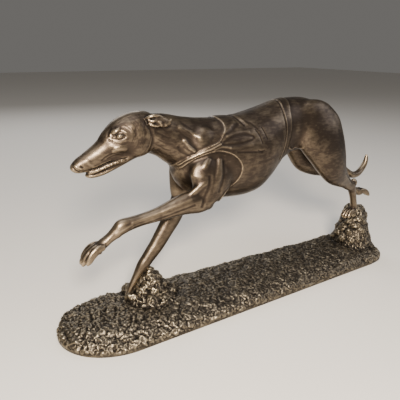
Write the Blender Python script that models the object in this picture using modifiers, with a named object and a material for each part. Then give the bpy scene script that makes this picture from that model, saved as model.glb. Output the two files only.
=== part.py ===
"""A running greyhound in a racing jacket, cast in one piece with the strip of turf that it runs on.

The dog runs towards -X, +Z is up, and the origin is under the middle of the turf, on its flat underside.
"""

import math

import bmesh
import bpy
import numpy as np
from mathutils import Matrix, Vector, noise

# The turf strip, in metres. Its middle is this far in front of the middle of the dog.
TURF_LENGTH = 0.281
TURF_LEAD = 0.002
TURF_HEAD_WIDTH = 0.067
TURF_TAIL_WIDTH = 0.0555
TURF_EDGE = 0.0035
TURF_CROWN = 0.0115
TURF_WANDER = 0.0014
TURF_RELIEF = 0.0008
TURF_GRAIN = 0.0065

# The dog, in metres. Its pose, proportions and carving are shares of this height.
DOG_HEIGHT = 0.128

# The racing jacket, in metres: how far its cloth and its corded hems stand out.
JACKET_THICKNESS = 0.0005
HEM_HEIGHT = 0.0009
HEM_WIDTH = 0.0018

# How finely the casting is cut: the first grid in metres, the triangles left before its underside is cut
# flat, and how often the flesh is smoothed, so that its forms melt into each other.
SKIN_GRID = 0.0010
SKIN_TRIANGLES = 11800
BLEND_ROUNDS = 18

# The drawing that the dog's rows below are read from: its height, from the crown of the turf to the
# top of the back, and the height of that crown, in drawing units.
DRAWN_HEIGHT = 128.0
DRAWN_CROWN = 11.5
UNIT = DOG_HEIGHT / DRAWN_HEIGHT

RING_SIDES = 20
STEPS_A_ROW = 4
TURF_SIDES = 120


def placed(x, y, z):
    """A point of the drawing, in metres, with the dog standing on the turf's crown."""
    return Vector((x * UNIT, y * UNIT, TURF_CROWN + (z - DRAWN_CROWN) * UNIT))


def smooth_rows(rows, steps=STEPS_A_ROW):
    """Rows in between the given ones, on a Catmull-Rom curve through them."""
    rows = np.array(rows, float)
    padded = np.vstack([2 * rows[0] - rows[1], rows, 2 * rows[-1] - rows[-2]])
    found = []
    for i in range(len(rows) - 1):
        a, b, c, d = padded[i : i + 4]
        for t in np.arange(steps) / steps:
            bend = (2 * a - 5 * b + 4 * c - d) * t**2 + (3 * b - a - 3 * c + d) * t**3
            found.append(0.5 * (2 * b + (c - a) * t + bend))
    found.append(rows[-1])
    return found


def add_ring(bm, centre, across, up, egg):
    """A closed ring of edges: an ellipse, wider above its middle where egg is positive."""
    made = bmesh.ops.create_circle(bm, segments=RING_SIDES, radius=1.0)["verts"]
    edges = list({e for v in made for e in v.link_edges})
    for v in made:
        c, s = v.co.x, v.co.y
        v.co = centre + across * (c * (1 + egg * s)) + up * s
    return edges


def add_loft(bm, rows, upright=False, egg=0.0):
    """A closed body through rings. A row is the ring's centre x, y, z, its half width and its half height.

    A ring stands square to the line through the centres, or upright on a trunk.
    """
    rows = smooth_rows(rows)
    centres = [placed(*row[:3]) for row in rows]
    rings = []
    for i, row in enumerate(rows):
        along = centres[min(i + 1, len(rows) - 1)] - centres[max(i - 1, 0)]
        along = Vector((-1, 0, 0)) if upright else along.normalized()
        across = Vector((0, 1, 0)) - along * along.y
        across.normalize()
        up = along.cross(across)
        up = -up if upright and up.z < 0 else up
        width, height = max(row[3], 0.2) * UNIT, max(row[4], 0.2) * UNIT
        rings.append(add_ring(bm, centres[i], across * width, up * height, egg))
    for near, far in zip(rings, rings[1:]):
        bmesh.ops.bridge_loops(bm, edges=near + far)
    for end in (rings[0], rings[-1]):
        bmesh.ops.contextual_create(bm, geom=end)


def add_lump(bm, centre, radii, pitch=0.0):
    """An ellipsoid of muscle or bone, tipped nose down by pitch degrees in the side view."""
    turn = Matrix.Rotation(math.radians(pitch), 4, "Y")
    size = Matrix.Diagonal((*[r * UNIT for r in radii], 1.0))
    bmesh.ops.create_uvsphere(
        bm, u_segments=20, v_segments=12, radius=1.0, matrix=Matrix.Translation(placed(*centre)) @ turn @ size
    )


def add_trunk(bm):
    """Breastbone, deep chest, tucked-up waist and croup: x, top, bottom, half width."""
    profile = [
        (-62.2, 107.0, 95.0, 5.0),
        (-58.0, 117.5, 88.0, 9.5),
        (-50.0, 125.0, 82.0, 13.5),
        (-40.0, 129.0, 78.0, 16.0),
        (-29.0, 130.5, 75.5, 17.5),
        (-17.0, 130.0, 74.5, 18.5),
        (-5.0, 132.0, 74.5, 18.5),
        (6.0, 134.5, 77.0, 17.5),
        (15.0, 137.0, 83.5, 15.5),
        (24.0, 139.0, 92.5, 13.5),
        (35.0, 139.8, 99.0, 13.0),
        (48.0, 139.0, 101.0, 14.0),
        (59.0, 134.4, 101.0, 14.0),
        (68.5, 127.6, 101.0, 12.5),
        (75.5, 120.0, 103.0, 9.5),
        (80.0, 112.5, 106.0, 5.0),
    ]
    rows = [(x, 0.0, (top + low) / 2, wide, (top - low) / 2) for x, top, low, wide in profile]
    add_loft(bm, rows, upright=True, egg=0.12)


def add_neck_and_head(bm):
    """The arched neck, the long skull and muzzle, the lower jaw and the lips, the brows, eyes and cheeks."""
    neck = [
        (-36.0, 0, 112.0, 12.5, 18.0),
        (-48.0, 0, 113.3, 11.5, 17.8),
        (-59.0, 0, 116.9, 10.4, 16.0),
        (-69.0, 0, 121.0, 9.2, 13.6),
        (-78.0, 0, 123.0, 8.4, 12.2),
        (-86.0, 0, 123.0, 8.0, 10.8),
    ]
    skull = [
        (-77.5, 0, 123.0, 6.5, 8.5),
        (-80.5, 0, 124.0, 8.8, 11.8),
        (-87.0, 0, 124.3, 9.6, 12.9),
        (-94.5, 0, 122.5, 9.0, 12.3),
        (-101.0, 0, 119.2, 7.4, 10.4),
        (-106.5, 0, 115.6, 6.2, 8.3),
        (-112.5, 0, 112.8, 5.3, 6.6),
        (-118.5, 0, 110.2, 4.5, 5.5),
        (-123.5, 0, 108.6, 3.9, 4.3),
        (-126.3, 0, 108.5, 2.9, 3.0),
        (-127.8, 0, 109.0, 1.0, 1.0),
    ]
    jaw = [
        (-88.0, 0, 114.5, 6.8, 4.4),
        (-97.0, 0, 109.5, 5.4, 3.4),
        (-104.0, 0, 106.1, 4.6, 2.7),
        (-110.5, 0, 103.6, 3.8, 2.2),
        (-115.5, 0, 102.6, 3.1, 1.9),
        (-118.4, 0, 102.7, 2.3, 1.5),
        (-119.4, 0, 103.2, 0.8, 0.6),
    ]
    lips = [
        (-92.0, 0, 111.4, 6.4, 2.4),
        (-98.0, 0, 110.6, 5.7, 2.0),
        (-104.0, 0, 108.6, 5.0, 1.8),
        (-110.0, 0, 106.4, 4.2, 1.6),
        (-114.5, 0, 104.8, 3.5, 1.4),
        (-117.6, 0, 104.1, 2.6, 1.1),
        (-118.8, 0, 104.1, 1.2, 0.6),
    ]
    for rows in (neck, skull, jaw, lips):
        add_loft(bm, rows)
    for side in (-1, 1):
        add_lump(bm, (-102.0, side * 4.8, 128.0), (4.6, 2.4, 2.2), pitch=-32)
        add_lump(bm, (-100.6, side * 6.6, 124.8), (2.4, 1.9, 1.8), pitch=-20)
        add_lump(bm, (-99.0, side * 5.8, 118.4), (7.5, 2.6, 3.2), pitch=-22)
        add_lump(bm, (-87.0, side * 4.8, 118.5), (9.0, 4.6, 8.0), pitch=-14)
        add_lump(bm, (-45.5, side * 8.6, 116.0), (9.0, 5.4, 10.5), pitch=24)
        add_lump(bm, (-55.0, side * 7.2, 112.5), (8.0, 5.0, 7.0), pitch=24)
        add_ear(bm, side)


def add_ear(bm, side):
    """A rose ear, folded back along the neck, with its lobe curled over."""
    shell = [
        (-85.0, side * 5.2, 131.0, 1.2, 1.6),
        (-81.5, side * 6.8, 131.6, 2.0, 3.0),
        (-76.5, side * 8.3, 131.2, 2.0, 3.6),
        (-72.0, side * 8.6, 130.4, 1.6, 3.0),
        (-68.5, side * 8.0, 130.2, 1.2, 1.4),
    ]
    fold = [
        (-83.0, side * 6.8, 132.8, 0.8, 0.8),
        (-77.5, side * 8.6, 134.4, 1.1, 1.2),
        (-72.5, side * 9.4, 134.2, 1.1, 1.2),
        (-69.0, side * 9.2, 131.8, 1.0, 1.0),
    ]
    lobe = [
        (-82.5, side * 8.0, 129.4, 0.8, 0.8),
        (-78.0, side * 9.8, 128.4, 1.1, 1.1),
        (-74.0, side * 10.0, 129.0, 1.2, 1.3),
        (-71.0, side * 9.4, 127.6, 0.9, 0.9),
    ]
    for rows in (shell, fold, lobe):
        add_loft(bm, rows)


def add_paw(bm, heel, tip, spread, size):
    """Four arched toes side by side, from heel to tip: the middle pair reach further."""
    heel, tip = np.array(heel), np.array(tip)
    shares = ((0.0, 0.0, 0.7), (0.35, 0.55, 1.0), (0.65, 0.5, 1.0), (0.9, -0.1, 0.8), (1.0, -0.5, 0.3))
    for place in (-1.5, -0.5, 0.5, 1.5):
        reach = 1.0 if abs(place) < 1 else 0.86
        rows = []
        for share, arch, swell in shares:
            x, y, z = heel + (tip - heel) * share * reach
            y += place * spread * (0.75 + 0.25 * share)
            rows.append((x, y, z + arch * size, 0.5 * spread * swell + 0.3, 0.75 * size * swell))
        add_loft(bm, rows)


def add_near_foreleg(bm):
    """The left foreleg, reaching forward clear of the turf."""
    upper = [
        (-41.0, -10.5, 106.5, 4.0, 9.0),
        (-41.5, -12.5, 101.0, 5.4, 15.0),
        (-42.0, -13.6, 94.0, 6.0, 16.6),
        (-44.5, -14.2, 87.0, 5.9, 13.4),
        (-47.5, -14.5, 81.0, 5.4, 9.2),
        (-48.5, -14.5, 76.0, 4.4, 6.2),
        (-48.5, -14.5, 73.0, 2.4, 3.0),
    ]
    lower = [
        (-44.0, -14.5, 78.0, 3.6, 4.4),
        (-50.0, -14.5, 79.0, 5.2, 7.2),
        (-58.0, -14.3, 80.0, 5.2, 7.6),
        (-68.0, -13.8, 78.8, 4.8, 6.4),
        (-79.0, -13.2, 76.3, 4.2, 4.9),
        (-90.0, -12.6, 74.6, 3.6, 4.2),
        (-98.0, -12.2, 73.4, 3.6, 4.5),
        (-103.4, -12.0, 72.3, 3.8, 5.0),
        (-107.4, -11.8, 69.6, 3.4, 3.9),
        (-111.5, -11.6, 66.8, 3.0, 3.0),
        (-115.4, -11.4, 64.2, 3.4, 3.1),
        (-119.0, -11.3, 61.8, 3.8, 2.9),
    ]
    add_loft(bm, upper)
    add_loft(bm, lower)
    add_paw(bm, heel=(-116.0, -11.4, 63.0), tip=(-129.4, -11.6, 55.2), spread=2.8, size=3.3)
    add_lump(bm, (-119.2, -11.3, 60.4), (2.8, 3.6, 2.0), pitch=38)
    add_lump(bm, (-44.5, -14.5, 77.0), (4.0, 3.2, 4.5))
    add_lump(bm, (-106.4, -11.8, 66.6), (1.8, 1.8, 1.6))
    for start, end, thick in (
        ((-52.0, -15.6, 107.0), (-58.0, -16.8, 84.0), 3.2),
        ((-44.0, -16.2, 104.0), (-51.0, -17.4, 82.0), 3.0),
        ((-36.0, -15.4, 104.0), (-45.0, -16.4, 84.0), 3.0),
    ):
        middle = [(a + b) / 2 for a, b in zip(start, end)]
        add_loft(bm, [(*start, 1.4, 1.2), (*middle, thick * 0.7, thick), (*end, 1.2, 1.4)])


def add_far_foreleg(bm):
    """The right foreleg, landing: its pastern narrows and is sunk in the turf that it throws up."""
    upper = [
        (-41.0, 10.5, 106.5, 4.0, 9.0),
        (-42.0, 12.0, 101.0, 5.4, 14.0),
        (-44.0, 12.8, 94.0, 5.8, 14.0),
        (-46.5, 12.8, 86.0, 5.6, 11.4),
        (-48.5, 12.4, 79.0, 5.2, 8.6),
        (-49.0, 12.0, 74.0, 4.0, 6.0),
    ]
    lower = [
        (-45.0, 12.2, 81.0, 3.6, 4.5),
        (-49.5, 12.0, 74.5, 4.9, 6.4),
        (-55.4, 11.4, 63.8, 4.8, 6.9),
        (-62.4, 10.8, 54.2, 4.4, 6.1),
        (-69.9, 10.2, 44.3, 4.0, 5.4),
        (-76.5, 9.8, 37.5, 3.7, 4.8),
        (-80.7, 9.6, 32.7, 3.8, 4.5),
        (-84.5, 9.4, 27.9, 3.0, 3.3),
        (-88.0, 9.2, 22.5, 2.6, 2.7),
        (-91.4, 9.0, 16.5, 2.6, 2.5),
        (-93.4, 9.0, 10.0, 2.4, 2.4),
    ]
    add_loft(bm, upper)
    add_loft(bm, lower)


def add_hind_legs(bm):
    """Both hind legs thrust back: the near paw stands on the clod, the far one trails behind it."""
    near = [
        (50.0, -8.0, 127.0, 6.5, 17.0),
        (56.5, -10.0, 115.0, 8.6, 21.0),
        (64.0, -11.5, 102.5, 8.6, 18.5),
        (70.5, -12.0, 91.5, 7.8, 15.4),
        (77.2, -11.5, 82.4, 6.6, 12.2),
        (85.0, -10.2, 76.0, 5.2, 8.8),
        (92.5, -8.8, 71.3, 4.0, 6.2),
        (98.5, -7.6, 67.4, 3.3, 4.8),
        (104.0, -6.6, 64.0, 3.0, 4.2),
        (107.6, -5.8, 58.0, 2.8, 3.3),
        (110.6, -5.0, 51.0, 2.7, 2.9),
        (112.4, -4.4, 45.0, 3.0, 3.2),
        (111.0, -4.0, 40.0, 3.6, 3.2),
    ]
    far = [
        (52.0, 8.0, 127.0, 6.5, 17.0),
        (58.0, 10.0, 115.0, 8.6, 21.5),
        (64.0, 11.5, 102.4, 8.6, 18.6),
        (71.5, 12.0, 92.4, 7.6, 17.4),
        (80.0, 11.5, 84.6, 6.4, 12.6),
        (89.5, 10.4, 78.4, 5.0, 8.0),
        (98.0, 9.2, 72.5, 3.9, 5.8),
        (105.0, 8.2, 68.0, 3.3, 4.4),
        (111.0, 7.6, 64.4, 3.0, 3.8),
        (118.0, 7.2, 59.4, 2.7, 3.0),
        (125.5, 7.0, 55.0, 2.7, 2.9),
        (131.0, 6.8, 52.4, 3.3, 3.3),
        (134.0, 6.7, 51.6, 3.1, 2.9),
    ]
    add_loft(bm, near)
    add_loft(bm, far)
    add_paw(bm, heel=(112.5, -4.2, 41.0), tip=(102.0, -4.0, 37.6), spread=2.2, size=3.0)
    add_paw(bm, heel=(129.0, 6.8, 53.0), tip=(144.2, 6.5, 48.6), spread=2.1, size=3.0)
    add_lump(bm, (107.5, -6.0, 67.2), (3.0, 2.6, 3.6), pitch=-20)
    add_lump(bm, (113.5, 7.6, 66.8), (3.2, 2.6, 3.0), pitch=-20)
    for side in (-1, 1):
        add_lump(bm, (54.0, side * 8.0, 126.0), (19.0, 7.2, 12.0), pitch=12)
        add_lump(bm, (41.0, side * 8.6, 129.6), (7.0, 4.2, 5.0), pitch=20)


def add_tail(bm):
    """The tail: down behind the thighs, past the near hock, and up again at its tip."""
    rows = [
        (72.0, 0, 120.5, 3.6, 3.6),
        (79.6, 0, 114.0, 3.4, 3.4),
        (84.8, 0, 104.5, 3.1, 3.1),
        (88.6, 0, 94.5, 2.9, 2.9),
        (93.6, 0, 85.2, 2.8, 2.8),
        (101.5, -0.8, 77.4, 2.8, 2.8),
        (109.0, -1.2, 72.8, 2.8, 2.8),
        (116.5, -0.8, 72.2, 2.7, 2.7),
        (122.8, 0, 75.2, 2.5, 2.5),
        (126.8, 0, 80.4, 2.2, 2.2),
        (127.6, 0, 85.4, 1.5, 1.5),
        (127.2, 0, 87.6, 0.7, 0.7),
    ]
    add_loft(bm, rows)


def turf_outline(inset):
    """The strip's outline in plan, drawn in by inset: the head end is round and the tail end blunt."""
    half = TURF_LENGTH / 2
    head, tail = TURF_HEAD_WIDTH / 2, TURF_TAIL_WIDTH / 2
    outline = []
    for i in range(TURF_SIDES):
        angle = 2 * math.pi * (i + 0.5) / TURF_SIDES
        c, s = math.cos(angle), math.sin(angle)
        end, square = (tail, 0.55) if c > 0 else (1.15 * head, 1.0)
        x = math.copysign(half - end + end * abs(c) ** square, c)
        width = head + (tail - head) * (x + half) / TURF_LENGTH
        y = math.copysign(width * abs(s) ** (0.8 if c > 0 else 1.0), s)
        wander = TURF_WANDER * noise.noise(Vector((x / width, y / width, 0.0))) * abs(s)
        outline.append((x - c * inset - TURF_LEAD, y - s * (inset - wander)))
    return outline


def add_turf(bm):
    """The low domed strip, with a spare depth below z = 0 that the flat cut takes away."""
    spare = 0.004
    levels = [(0.0, -spare), (0.0, TURF_EDGE)]
    rise = TURF_CROWN - TURF_EDGE
    reach = TURF_TAIL_WIDTH / 2
    for share in (0.06, 0.14, 0.26, 0.4, 0.56, 0.74, 0.92):
        levels.append((share * reach, TURF_EDGE + rise * math.sqrt(1 - (1 - share) ** 2)))
    rings = []
    for inset, z in levels:
        verts = [bm.verts.new((x, y, z)) for x, y in turf_outline(inset)]
        rings.append([bm.edges.new((a, b)) for a, b in zip(verts, verts[1:] + verts[:1])])
    for near, far in zip(rings, rings[1:]):
        bmesh.ops.bridge_loops(bm, edges=near + far)
    for end in (rings[0], rings[-1]):
        bmesh.ops.contextual_create(bm, geom=end)


# A heap of turf: where it stands, and its rings of height and radius from the bottom up.
THROWN_TURF = (
    (-76.0, 8.0),
    [(4.0, 21.0), (9.0, 16.5), (14.0, 12.6), (20.0, 8.8), (26.0, 5.6), (30.0, 3.0), (31.5, 0.8)],
)
HIND_CLOD = (
    (120.0, 0.0),
    [(4.0, 22.5), (10.0, 18.0), (16.0, 15.4), (24.0, 13.4), (32.0, 11.2), (38.0, 9.4), (42.0, 7.4), (44, 3)],
)
LUMPS_A_HEAP = 22


def add_clods(bm):
    """The turf thrown up behind the landing forefoot, and the clod that carries the hind foot."""
    golden = math.pi * (3 - math.sqrt(5))
    for (x, y), rings in (THROWN_TURF, HIND_CLOD):
        add_loft(bm, [(x, y, z, radius, radius) for z, radius in rings])
        heights, radii = zip(*rings)
        for i in range(LUMPS_A_HEAP):
            height = np.interp(i, (0, LUMPS_A_HEAP - 1), (heights[1] + 2, heights[-3]))
            radius = np.interp(height, heights, radii)
            size = (0.26 * radius + 2.0) * (1.0 + 0.25 * math.sin(2.3 * i))
            away = radius - 0.55 * size
            centre = (x + away * math.cos(i * golden), y + away * math.sin(i * golden), height)
            add_lump(bm, centre, (size, 0.8 * size, 0.75 * size), pitch=40 * math.sin(1.7 * i))


def applied(obj, modifiers):
    """The object's mesh after these modifiers, in place of its own."""
    for kind, settings in modifiers:
        modifier = obj.modifiers.new(kind.title(), kind)
        for name, value in settings.items():
            setattr(modifier, name, value)
    graph = bpy.context.evaluated_depsgraph_get()
    graph.update()
    mesh = bpy.data.meshes.new_from_object(obj.evaluated_get(graph))
    obj.modifiers.clear()
    old, obj.data = obj.data, mesh
    bpy.data.meshes.remove(old)
    return obj


# The jacket's lines in the side view, x and z in drawing units: its collar, the cord below the collar,
# its hem ahead of the haunch, the seam inside that, and the armhole, a closed loop around the foreleg.
COLLAR = [(-27, 136), (-28.5, 130), (-36, 121), (-46, 115.8), (-56.0, 111.2), (-60.5, 105), (-64, 97)]
COLLAR_CORD = [(-36.5, 117.0), (-44.0, 114.0), (-51.0, 111.8), (-57.0, 108.4), (-60.5, 104.5)]
HEM = [(28.0, 140.0), (25.4, 131.0), (25.8, 119.0), (25.0, 106.0), (22.0, 92.0)]
HEM_SEAM = [(22.0, 140.0), (19.3, 131.0), (19.0, 120.0), (17.0, 108.0), (14.0, 99.0)]
ARMHOLE = [
    (-60.5, 102.0),
    (-53.5, 109.0),
    (-44.0, 111.2),
    (-33.0, 110.4),
    (-23.5, 104.0),
    (-19.8, 94.0),
    (-22.5, 84.5),
    (-32.0, 79.5),
    (-38.0, 66.0),
    (-70.0, 64.0),
    (-69.0, 88.0),
]

# The part of the side view that holds the jacket's lines: from and to x, and its lowest z.
JACKET_REACH = (-66.0, 30.0)
JACKET_LOW = 72.0


def softness(points):
    """How far each point's form melts into the next: fully on neck, trunk and thighs, not on face or paws."""
    x, z = points[:, 0] / UNIT, (points[:, 2] - TURF_CROWN) / UNIT + DRAWN_CROWN
    body = np.clip((x + 68) / 8, 0, 1) * np.clip((z - 76) / 8, 0, 1) * np.clip((100 - x) / 10, 0, 1)
    neck = np.clip((x + 84) / 6, 0, 1) * np.clip((127 - z) / 3, 0, 1) * np.clip((z - 95) / 5, 0, 1)
    thigh = np.clip((x - 40) / 6, 0, 1) * np.clip((106 - x) / 8, 0, 1) * np.clip((z - 64) / 4, 0, 1)
    cheek = 0.6 * np.clip((x + 98) / 6, 0, 1) * np.clip((-76 - x) / 4, 0, 1) * np.clip((127 - z) / 3, 0, 1)
    arm = 0.7 * np.clip((-38 - x) / 4, 0, 1) * np.clip((x + 100) / 4, 0, 1) * np.clip((z - 66) / 6, 0, 1)
    arm *= np.clip((94 - z) / 6, 0, 1)
    return np.max([body, neck, thigh, cheek, arm], axis=0)


def blend_flesh(obj):
    """Smooths the dog's flesh, so that the forms that it is built from melt into each other."""
    points = np.empty(len(obj.data.vertices) * 3)
    obj.data.vertices.foreach_get("co", points)
    flesh = obj.vertex_groups.new(name="flesh")
    for i, weight in enumerate(softness(points.reshape(-1, 3))):
        if weight > 0:
            flesh.add([i], weight, "REPLACE")
    applied(obj, [("SMOOTH", {"factor": 0.5, "iterations": BLEND_ROUNDS, "vertex_group": flesh.name})])
    obj.vertex_groups.clear()


def line_distance(points, line, closed=False):
    """The distance of each point from a smooth line in the side view."""
    line = np.array(line + line[:1] if closed else line)
    line = np.array(smooth_rows(line))
    a, b = line[:-1], line[1:]
    along = b - a
    share = ((points[:, None] - a) * along).sum(2) / (along**2).sum(1)
    nearest = a + np.clip(share, 0, 1)[..., None] * along
    return np.linalg.norm(points[:, None] - nearest, axis=2).min(1)


def within(points, loop):
    """Whether each point lies inside a closed loop in the side view."""
    loop = np.array(smooth_rows(loop + loop[:1]))
    inside = np.zeros(len(points), bool)
    x, z = points.T
    for (x0, z0), (x1, z1) in zip(loop, loop[1:]):
        crosses = (z0 > z) != (z1 > z)
        inside ^= crosses & (x < x0 + (z - z0) * (x1 - x0) / (z1 - z0 if z1 != z0 else 1.0))
    return inside


def jacket_lift(points):
    """How far the jacket stands out from the body at each point, in metres."""
    side = np.column_stack([points[:, 0] / UNIT, (points[:, 2] - TURF_CROWN) / UNIT + DRAWN_CROWN])
    x, z = side.T
    collar_z, collar_x = zip(*sorted((height, place) for place, height in COLLAR))
    hem_z, hem_x = zip(*sorted((height, place) for place, height in HEM))
    cloth = (x > np.interp(z, collar_z, collar_x)) & (x < np.interp(z, hem_z, hem_x)) & (z > JACKET_LOW)
    flank = np.clip((np.abs(points[:, 1]) / UNIT - 5) / 3, 0, 1)
    bare = within(side, ARMHOLE) * flank
    lift = JACKET_THICKNESS * cloth * (1 - bare)
    body = (z > JACKET_LOW) & (x > JACKET_REACH[0]) & (x < JACKET_REACH[1])
    width = HEM_WIDTH / UNIT / 2
    for line, height, closed in (
        (COLLAR, 1.0, False),
        (COLLAR_CORD, 0.7, False),
        (HEM, 0.9, False),
        (HEM_SEAM, 0.4, False),
        (ARMHOLE, 1.0, True),
    ):
        ridge = height * HEM_HEIGHT * np.exp(-((line_distance(side, line, closed) / width) ** 2))
        on_arm = (np.abs(points[:, 1]) / UNIT > 12) & (z < 88) & (x < -34)
        shown = body & ~on_arm if closed else body
        lift = np.maximum(lift, ridge * shown * (flank if closed else 1) + lift * 0.5)
    return lift


def is_turf(points):
    """Whether each point of the skin belongs to the turf, and not to the dog."""
    x, y, z = points.T
    turf = z < TURF_CROWN + 0.001
    for (heap_x, heap_y), rings in (THROWN_TURF, HIND_CLOD):
        heights, radii = (np.array(values) * UNIT for values in zip(*rings))
        away = np.hypot(x - heap_x * UNIT, y - heap_y * UNIT)
        top = TURF_CROWN + heights[-2] - DRAWN_CROWN * UNIT
        turf |= (z < top) & (away < np.interp(z, heights, radii) + 0.004)
    return turf


def carve(obj):
    """Moves the skin along its normals, where the turf is rough and where the jacket lies over the body."""
    mesh = obj.data
    points = np.empty(len(mesh.vertices) * 3)
    normals = np.empty(len(mesh.vertices) * 3)
    mesh.vertices.foreach_get("co", points)
    mesh.vertices.foreach_get("normal", normals)
    points, normals = points.reshape(-1, 3), normals.reshape(-1, 3)
    lift = jacket_lift(points)
    for i in np.flatnonzero(is_turf(points)):
        spot = Vector(points[i]) / TURF_GRAIN
        lift[i] = TURF_RELIEF * (noise.noise(spot) + 0.6 * noise.noise(2.1 * spot))
    points += normals * lift[:, None]
    mesh.vertices.foreach_set("co", points.ravel())
    mesh.update()


def cut_flat(obj):
    """Cuts the underside flat at z = 0."""
    bm = bmesh.new()
    bm.from_mesh(obj.data)
    geom = bm.verts[:] + bm.edges[:] + bm.faces[:]
    table = {"plane_co": (0, 0, 0), "plane_no": (0, 0, -1)}
    cut = bmesh.ops.bisect_plane(bm, geom=geom, dist=1e-6, clear_outer=True, **table)
    rim = [e for e in cut["geom_cut"] if isinstance(e, bmesh.types.BMEdge)]
    bmesh.ops.contextual_create(bm, geom=rim)
    bmesh.ops.recalc_face_normals(bm, faces=bm.faces)
    bm.to_mesh(obj.data)
    bm.free()


def centre_on_box(obj):
    """Puts the origin under the middle of the casting's box."""
    corners = np.array(obj.bound_box)
    middle = (corners.min(0) + corners.max(0)) / 2
    obj.data.transform(Matrix.Translation((-middle[0], -middle[1], 0)))


def bronze():
    """Cold-cast bronze: brown patina over a dull gold metal."""
    material = bpy.data.materials.new("patinated_bronze")
    material.use_nodes = True
    shader = material.node_tree.nodes["Principled BSDF"]
    shader.inputs["Base Color"].default_value = (0.13, 0.085, 0.05, 1)
    shader.inputs["Metallic"].default_value = 0.85
    shader.inputs["Roughness"].default_value = 0.38
    return material


def build_statue():
    """The whole casting, as one closed body."""
    bm = bmesh.new()
    for add in (
        add_trunk,
        add_neck_and_head,
        add_near_foreleg,
        add_far_foreleg,
        add_hind_legs,
        add_tail,
        add_turf,
        add_clods,
    ):
        add(bm)
    bmesh.ops.recalc_face_normals(bm, faces=bm.faces)
    mesh = bpy.data.meshes.new("greyhound_statue")
    bm.to_mesh(mesh)
    bm.free()
    statue = bpy.data.objects.new("greyhound_statue", mesh)
    collection = bpy.data.collections.new("greyhound statue")
    bpy.context.scene.collection.children.link(collection)
    collection.objects.link(statue)
    applied(
        statue,
        [
            ("REMESH", {"mode": "VOXEL", "voxel_size": SKIN_GRID}),
            ("SMOOTH", {"factor": 0.5, "iterations": 5}),
        ],
    )
    blend_flesh(statue)
    carve(statue)
    applied(statue, [("TRIANGULATE", {})])
    applied(statue, [("DECIMATE", {"ratio": SKIN_TRIANGLES / len(statue.data.polygons)})])
    cut_flat(statue)
    centre_on_box(statue)
    statue.data.materials.clear()
    statue.data.materials.append(bronze())
    statue.data.shade_smooth()
    return statue


def main():
    for obj in list(bpy.data.objects):
        bpy.data.objects.remove(obj)
    build_statue()


main()
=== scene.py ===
"""The looks of the greyhound statue: its finely carved casting, its bronze finish, and a plain studio."""

import math

import bmesh
import bpy
import numpy as np
from bpy.props import FloatProperty, FloatVectorProperty, PointerProperty
from mathutils import Matrix, Vector, noise
from mathutils.kdtree import KDTree


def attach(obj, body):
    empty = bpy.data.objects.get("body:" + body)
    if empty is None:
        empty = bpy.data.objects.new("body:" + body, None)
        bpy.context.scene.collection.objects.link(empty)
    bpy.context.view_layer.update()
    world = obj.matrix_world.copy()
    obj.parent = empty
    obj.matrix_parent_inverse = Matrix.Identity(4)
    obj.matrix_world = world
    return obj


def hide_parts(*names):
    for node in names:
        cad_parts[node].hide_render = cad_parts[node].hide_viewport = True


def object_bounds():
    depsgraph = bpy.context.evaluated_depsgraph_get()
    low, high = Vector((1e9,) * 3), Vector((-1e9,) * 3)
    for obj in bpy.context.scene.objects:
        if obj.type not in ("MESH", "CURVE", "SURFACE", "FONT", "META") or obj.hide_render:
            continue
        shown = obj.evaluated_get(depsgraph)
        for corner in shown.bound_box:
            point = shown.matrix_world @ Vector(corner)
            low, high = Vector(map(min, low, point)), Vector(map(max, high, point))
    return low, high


bl_info = {
    "name": "Greyhound Statue",
    "version": (1, 0, 0),
    "blender": (4, 5, 0),
    "location": "View3D > Sidebar > Statue",
    "description": "Casts a racing greyhound on its strip of turf, in patinated bronze",
    "category": "Add Mesh",
}

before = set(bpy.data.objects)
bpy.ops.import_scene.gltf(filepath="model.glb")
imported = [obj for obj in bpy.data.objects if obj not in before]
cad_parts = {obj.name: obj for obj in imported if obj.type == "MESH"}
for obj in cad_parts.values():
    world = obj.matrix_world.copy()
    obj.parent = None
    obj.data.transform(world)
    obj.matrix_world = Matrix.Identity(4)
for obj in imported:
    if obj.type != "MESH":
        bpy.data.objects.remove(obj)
CAD_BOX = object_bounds()
CASTING = "greyhound_statue"
MM = 0.001

# The drawing that the dog's rows are read from, in millimetres: its height above the turf's crown,
# and the height of that crown. The turf is this far in front of the drawing's middle.
DRAWN_HEIGHT = 128.0
DRAWN_CROWN = 11.5
TURF_LEAD = 2.0

RING_SIDES = 32
STEPS_A_ROW = 6
TURF_SIDES = 160
DOG_GRID = 0.45 * MM
TURF_GRID = 0.55 * MM
MOST_TRIANGLES = 192000

# How often points are averaged with their neighbours: to melt muscles into each other, and to find the form
# just under the skin and the form around it, against which the skin is worn and the broad forms get painted
# shade and painted sheen.
MELT_ROUNDS = 90
NEAR_ROUNDS = 10
FAR_ROUNDS = 60


def linear(hex_colour):
    """An sRGB hex value as a linear colour."""
    parts = [int(hex_colour[i : i + 2], 16) / 255 for i in (1, 3, 5)]
    return [c / 12.92 if c <= 0.04045 else ((c + 0.055) / 1.055) ** 2.4 for c in parts]


def add_node(tree, kind, links=(), **settings):
    """A node with its settings. Each link is (input, output socket of another node)."""
    node = tree.nodes.new(kind)
    for name, value in settings.items():
        if name in node.inputs:
            node.inputs[name].default_value = value
        else:
            setattr(node, name, value)
    for name, source in links:
        tree.links.new(source, node.inputs[name])
    return node


def rising(values, start, width):
    """From 0 at the start to 1 a width further on. A negative width runs the other way."""
    return np.clip((values - start) / width, 0, 1)


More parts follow.
